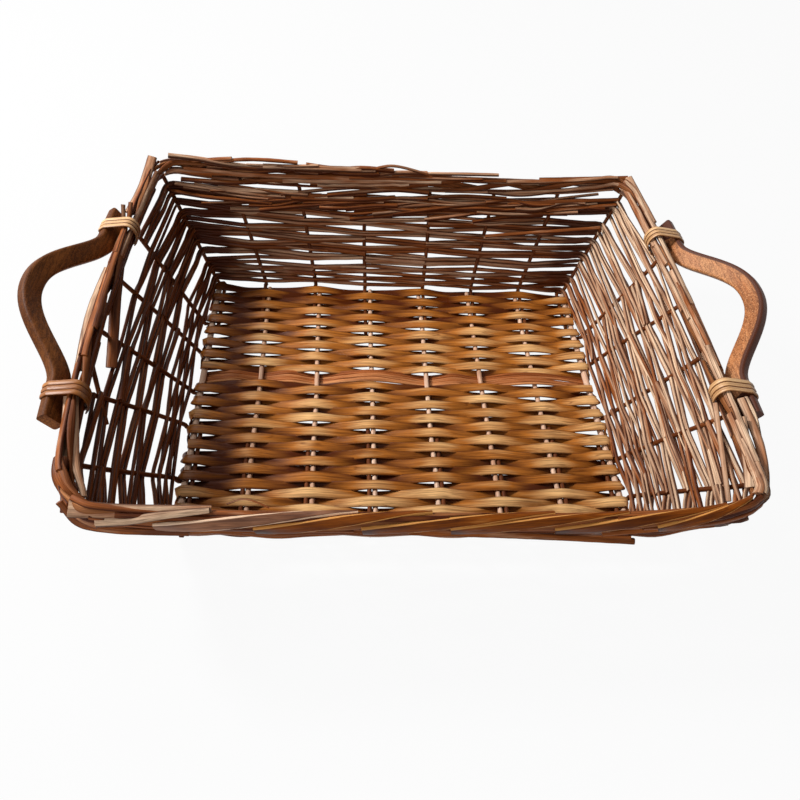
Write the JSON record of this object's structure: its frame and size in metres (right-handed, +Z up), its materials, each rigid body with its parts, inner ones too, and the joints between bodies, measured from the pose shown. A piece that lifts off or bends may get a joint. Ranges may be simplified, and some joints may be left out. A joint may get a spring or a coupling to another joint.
{
  "type": "flat tray basket",
  "caption": "Flat tray basket of woven willow with sloping openwork walls, a roped border and two bentwood ear handles bound on with flat cane, for carrying and serving.",
  "frame": {"origin": "under the middle of the base, on the surface that the basket stands on", "axes": "+X along the tray towards the right handle, +Y to the back wall, +Z up"},
  "size_m": [0.5822, 0.4044, 0.1397],
  "materials": {
    "base_stick": "peeled willow, dry",
    "centre_rod": "red brown willow rod, satin",
    "split_willow": "honey brown split willow, satin with visible grain",
    "stake": "buff willow rod, dry",
    "wall_rod": "buff willow rod, dry with darker streaks",
    "bentwood": "stained bentwood, satin",
    "cane": "glossy split cane"
  },
  "bodies": {
    "root": {"base_centre_rod_1": "centre_rod", "base_centre_rod_2": "centre_rod", "base_centre_rod_3": "centre_rod", "base_stick_1": "base_stick", "base_stick_2": "base_stick", "base_stick_3": "base_stick", "base_stick_4": "base_stick", "base_stick_5": "base_stick", "base_stick_6": "base_stick", "base_stick_7": "base_stick", "base_stick_8": "base_stick", "base_weaver_1": "split_willow", "base_weaver_2": "split_willow", "base_weaver_3": "split_willow", "base_weaver_4": "split_willow", "base_weaver_5": "split_willow", "base_weaver_6": "split_willow", "base_weaver_7": "split_willow", "handle_left": "bentwood", "handle_right": "bentwood", "lashing_left_back": "cane", "lashing_left_front": "cane", "lashing_right_back": "cane", "lashing_right_front": "cane", "stake_back_1": "stake", "stake_back_2": "stake", "stake_back_3": "stake", "stake_back_4": "stake", "stake_back_5": "stake", "stake_back_6": "stake", "stake_back_7": "stake", "stake_back_8": "stake", "stake_front_1": "stake", "stake_front_2": "stake", "stake_front_3": "stake", "stake_front_4": "stake", "stake_front_5": "stake", "stake_front_6": "stake", "stake_front_7": "stake", "stake_front_8": "stake", "stake_left_1": "stake", "stake_left_2": "stake", "stake_left_3": "stake", "stake_left_4": "stake", "stake_left_5": "stake", "stake_right_1": "stake", "stake_right_2": "stake", "stake_right_3": "stake", "stake_right_4": "stake", "stake_right_5": "stake", "wall_weaver_lower_1": "wall_rod", "wall_weaver_lower_2": "wall_rod", "wall_weaver_open_1": "wall_rod", "wall_weaver_open_2": "wall_rod", "wall_weaver_open_3": "wall_rod", "wall_weaver_open_4": "wall_rod", "wall_weaver_upper_1": "wall_rod", "wall_weaver_upper_2": "wall_rod"}
  },
  "joints": []
}
